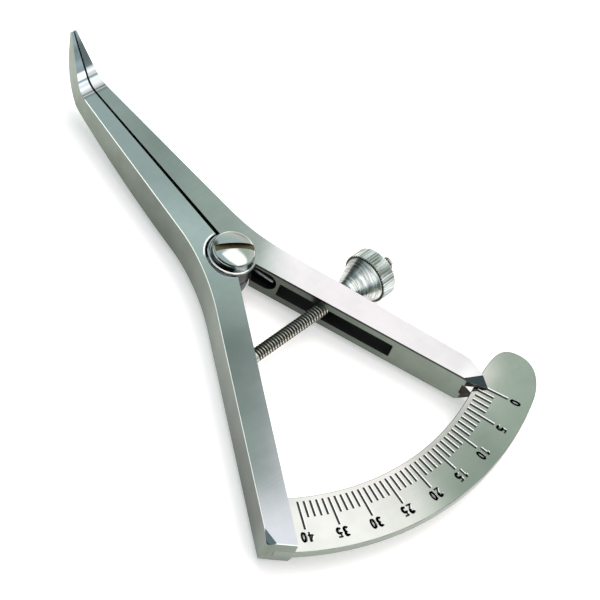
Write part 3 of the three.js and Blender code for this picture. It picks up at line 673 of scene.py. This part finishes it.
# The spring winds as the handles close: its last turns and leg go round with the moving arm, and
# overlap the coil that stays by more than the arm's whole swing.
stays = shareAt(spring["stays"])
follows = shareAt(spring["stays"] - spring["overlap"])
for name, body, first, last, thickness, nodes in (
        ("returnSpring", "fixed", 0, stays, spring["innerWire"], ("return_spring",)),
        ("returnSpringLeg", "moving", follows, 1, 1, ())):
    wire = springPath(np.linspace(first, last, spring["steps"]))
    points, faces = tube(wire, thickness * spring["wire"] / 2, spring["sides"])
    piece = addPiece(name, points, faces, body, nodes)
    piece.data.materials.append(finishes["wire"])
    close(piece, spring["sharp"])
print("return spring done")


scale = dict(
    zero=28.1, degreesPerMark=1.34, marks=40, major=5, top=3.8,
    start=44.8, minorEnd=47.7, majorEnd=49.8, width=0.36, glintWidth=0.21, glintOffset=0.275,
    lift=0.02, sunk=0.05, numeralReach=51.15, numeralHeight=1.56, numeralWidth=0.98,
    numeralGap=1.17, stroke=0.32, strokeOverlap=0.3, glintStroke=0.24, paintedNumeralGlint=0.21)


def radial(angle):
    # unit vectors outward and towards higher readings, for an angle from -Y towards +X
    a = np.radians(angle)
    return np.stack([np.sin(a), -np.cos(a)], -1), np.stack([-np.cos(a), -np.sin(a)], -1)


def bars(starts, ends, width, lift):
    # closed flat-topped bars between pairs of points of the plate's plan
    ahead = ends - starts
    ahead /= np.linalg.norm(ahead, axis=1)[:, None]
    aside = np.column_stack([-ahead[:, 1], ahead[:, 0]]) * width / 2
    loop = np.stack([starts - aside, ends - aside, ends + aside, starts + aside], axis=1)
    levels = [
        np.full(loop.shape[:2] + (1,), scale["top"] + level) for level in (-scale["sunk"], lift)]
    points = np.concatenate([np.concatenate([loop, level], axis=-1) for level in levels], axis=1)
    box = np.array([
        [3, 2, 1, 0], [4, 5, 6, 7], [0, 1, 5, 4], [1, 2, 6, 5], [2, 3, 7, 6], [3, 0, 4, 7]])
    faces = box[None] + 8 * np.arange(len(points))[:, None, None]
    return points.reshape(-1, 3), faces.reshape(-1, 4)


def marks(name, offset, width, lift, finish):
    # one bar per graduation, all in one mesh
    number = np.arange(scale["marks"] + 1)
    outward, sideways = radial(scale["zero"] - number * scale["degreesPerMark"])
    end = np.where(number % scale["major"] == 0, scale["majorEnd"], scale["minorEnd"])[:, None]
    shift = sideways * offset
    points, faces = bars(outward * scale["start"] + shift, outward * end + shift, width, lift)
    piece = addPiece(name, points, faces, "fixed")
    piece.data.materials.append(finishes[finish])


def arc(x, y, rx, ry, start, end, steps=14):
    # points of an elliptical arc between two angles in degrees
    a = np.radians(np.linspace(start, end, steps))
    return np.column_stack([x + rx * np.cos(a), y + ry * np.sin(a)])


# Strokes of the digits in a box one unit high, drawn as open lines.
digitStrokes = {
    "0": [arc(0, 0, 0.3, 0.5, 90, 450, 22)],
    "1": [np.array([[-0.2, 0.28], [0.04, 0.5]]), np.array([[0.04, 0.5], [0.04, -0.5]])],
    "2": [np.vstack([arc(0, 0.22, 0.28, 0.28, 165, -35), [[-0.3, -0.5]]]),
          np.array([[-0.3, -0.5], [0.32, -0.5]])],
    "3": [arc(-0.02, 0.26, 0.27, 0.24, 150, -80), arc(-0.02, -0.22, 0.31, 0.28, 80, -150)],
    "4": [np.array([[0.14, -0.5], [0.14, 0.5]]), np.array([[0.14, 0.5], [-0.32, -0.18]]),
          np.array([[-0.32, -0.18], [0.34, -0.18]])],
    "5": [np.array([[0.27, 0.5], [-0.2, 0.5]]), np.array([[-0.2, 0.5], [-0.25, 0.03]]),
          np.vstack([[[-0.25, 0.03]], arc(-0.01, -0.18, 0.31, 0.32, 115, -145)])],
}


def numerals(name, offset, stroke, lift, finish):
    # every stroke becomes a run of short bars that overlap at their joints
    starts, ends = [], []
    for reading in range(0, scale["marks"] + 1, scale["major"]):
        outward, sideways = radial(scale["zero"] - reading * scale["degreesPerMark"])
        text = str(reading)
        for place, digit in enumerate(text):
            shift = (place - (len(text) - 1) / 2) * scale["numeralGap"] + offset
            for line in digitStrokes[digit]:
                flat = (outward * (scale["numeralReach"] + line[:, 1:2] * scale["numeralHeight"])
                        + sideways * (shift + line[:, 0:1] * scale["numeralWidth"]))
                ahead = np.diff(flat, axis=0)
                ahead /= np.linalg.norm(ahead, axis=1)[:, None]
                starts.append(flat[:-1] - ahead * stroke * scale["strokeOverlap"])
                ends.append(flat[1:] + ahead * stroke * scale["strokeOverlap"])
    points, faces = bars(np.concatenate(starts), np.concatenate(ends), stroke, lift)
    piece = addPiece(name, points, faces, "fixed")
    piece.data.materials.append(finishes[finish])


# dark filled marks and numerals, each with a pale painted glint of the engraving's wall beside it
marks("markFill", 0.0, scale["width"], scale["lift"], "fill")
marks("paintedMarkGlint", -scale["glintOffset"], scale["glintWidth"], scale["lift"] / 2, "paintedGlint")
numerals("paintedNumeralGlint", -scale["paintedNumeralGlint"], scale["glintStroke"], scale["lift"] / 2, "paintedGlint")
numerals("numeralFill", 0.0, scale["stroke"], scale["lift"], "fill")
print("scale done")


table = dict(
    level=-1.435, size=6.0, color=(0.94, 0.885, 0.87), roughness=0.9, specular=0.1,
    glow=(1, 1, 0.995), glowStrength=0.4)
bpy.ops.mesh.primitive_plane_add(size=table["size"], location=(0, 0, table["level"] * mm))
floor = bpy.context.object
floor.name = "studioFloor"
floorMaterial = bpy.data.materials.new("paleTable")
floorMaterial.use_nodes = True
floorNodes = Nodes(floorMaterial.node_tree)
floorShader = floorNodes.add("ShaderNodeBsdfPrincipled", {
    "Base Color": rgba(table["color"]), "Roughness": table["roughness"],
    "Specular IOR Level": table["specular"], "Emission Color": rgba(table["glow"]),
    "Emission Strength": table["glowStrength"]})
floorOut = floorNodes.add("ShaderNodeOutputMaterial")
floorNodes.put(floorShader.outputs["BSDF"], floorOut.inputs["Surface"])
floor.data.materials.append(floorMaterial)

camera = dict(
    target=(8.2285, -10.262, 0.0), distance=644.76, azimuth=29.176, elevation=52.3936,
    roll=-25.3136, lens=240.0, sensor=36.0, near=0.01, far=20.0)
forward = direction(camera["azimuth"], -camera["elevation"])
upright = direction(camera["azimuth"], 90 - camera["elevation"])
sideways = forward.cross(upright)
roll = math.radians(camera["roll"])
up = upright * math.cos(roll) + sideways * math.sin(roll)
right = forward.cross(up)
eyePoint = Vector(camera["target"]) * mm - forward * camera["distance"] * mm
lookData = bpy.data.cameras.new("photoView")
lookData.lens = camera["lens"]
lookData.sensor_width = camera["sensor"]
lookData.clip_start = camera["near"]
lookData.clip_end = camera["far"]
look = bpy.data.objects.new("photoView", lookData)
look.matrix_world = Matrix((
    (right.x, up.x, -forward.x, eyePoint.x),
    (right.y, up.y, -forward.y, eyePoint.y),
    (right.z, up.z, -forward.z, eyePoint.z),
    (0, 0, 0, 1)))
bpy.context.scene.collection.objects.link(look)
bpy.context.scene.camera = look

# The studio round the object. Panels hang overhead and are outlined on a plane one unit up
# by sides (x, y, limit, softness), where x and y times the plan direction stay under the limit.
# Patches are rectangles of directions.
studio = dict(
    ambient=(0.52, 0.645, 0.675), leastAhead=0.02, leastWidth=0.1, leastHeight=0.05,
    patches=[
        dict(azimuth=8, elevation=49, width=32, height=34, soft=5, color=(0.50, 0.60, 0.52)),
        dict(azimuth=5, elevation=12, width=110, height=50, soft=20, color=(0.68, 0.73, 0.69)),
        dict(azimuth=97, elevation=20, width=26, height=40, soft=12, color=(0.10, 0.12, 0.10)),
        dict(azimuth=-91, elevation=9, width=20, height=26, soft=12, color=(0.12, 0.15, 0.13)),
        dict(azimuth=-156, elevation=6, width=86, height=66, soft=12, color=(0.02, 0.03, 0.025)),
    ],
    panels=[
        dict(color=(1.7, 1.66, 1.66), sides=[
            (-1, 0, 0.25, 0.06), (1, 0.27, 0.63, 0.06), (0, 1, 0.36, 0.06), (0, -1, 1.5, 0.06)]),
        dict(color=(1.62, 1.46, 1.46), sides=[
            (0.2543, -0.9671, -0.1294, 0.0018), (-1.22, 1, -0.4325, 0.016), (1, 0, 0.7106, 0.004),
            (-0.878, 0.4787, -0.3928, 0.003)]),
        dict(color=(1.6, 1.53, 1.53), sides=[
            (0.79, -0.617, 0.339, 0.014), (0.4787, 0.878, 0.5803, 0.014),
            (-1, 0, -0.57, 0.01), (0, -1, -0.22, 0.01)]),
    ])


def patchMask(n, place, patch):
    # 1 inside a rectangle of directions, 0 outside, smooth at its edges
    centre = direction(patch["azimuth"], patch["elevation"])
    level = direction(patch["azimuth"] + 90, 0)
    rise = centre.cross(level)
    ahead = n.along(place, centre)
    inside = n.math("GREATER_THAN", ahead, studio["leastAhead"])
    ahead = n.math("MAXIMUM", ahead, studio["leastAhead"])
    for axis, size in ((level, patch["width"]), (rise, patch["height"])):
        slope = n.math("ABSOLUTE", n.math("DIVIDE", n.along(place, axis), ahead))
        outer = math.tan(math.radians(size / 2 + patch["soft"] / 2))
        inner = math.tan(math.radians(max(size / 2 - patch["soft"] / 2, studio["leastWidth"])))
        inside = n.math("MULTIPLY", inside, n.math("SUBTRACT", 1.0, n.ramp(slope, inner, outer)))
    return inside


def panelMask(n, place, panel):
    # 1 under all sides of an overhead panel, 0 beyond them
    height = n.along(place, upWay)
    inside = n.math("GREATER_THAN", height, studio["leastHeight"])
    height = n.math("MAXIMUM", height, studio["leastHeight"])
    for x, y, limit, soft in panel["sides"]:
        across = n.math("DIVIDE", n.along(place, (x, y, 0)), height)
        within = n.ramp(across, limit - soft / 2, limit + soft / 2)
        inside = n.math("MULTIPLY", inside, n.math("SUBTRACT", 1.0, within))
    return inside


world = bpy.data.worlds.new("studioLight")
bpy.context.scene.world = world
world.use_nodes = True
n = Nodes(world.node_tree)
place = n.add("ShaderNodeTexCoord").outputs["Generated"]
glow = rgba(studio["ambient"])
for patch in studio["patches"]:
    glow = n.mixColor(patchMask(n, place, patch), glow, rgba(patch["color"]))
for panel in studio["panels"]:
    glow = n.mixColor(panelMask(n, place, panel), glow, rgba(panel["color"]))
background = n.add("ShaderNodeBackground", {"Color": glow, "Strength": 1.0})
worldOut = n.add("ShaderNodeOutputWorld")
n.put(background.outputs["Background"], worldOut.inputs["Surface"])

lampSettings = dict(azimuth=27, elevation=62, distance=1.2, size=0.9, power=9.0)
lampData = bpy.data.lights.new("tableLight", "AREA")
lampData.shape = "SQUARE"
lampData.size = lampSettings["size"]
lampData.energy = lampSettings["power"]
lamp = bpy.data.objects.new("tableLight", lampData)
lampAim = direction(lampSettings["azimuth"], lampSettings["elevation"])
lamp.location = lampAim * lampSettings["distance"]
lamp.rotation_mode = "QUATERNION"
lamp.rotation_quaternion = (-lampAim).to_track_quat("-Z", "Y")
lamp.visible_glossy = False
bpy.context.scene.collection.objects.link(lamp)
bpy.context.scene.view_settings.view_transform = "Standard"
print("studio done")
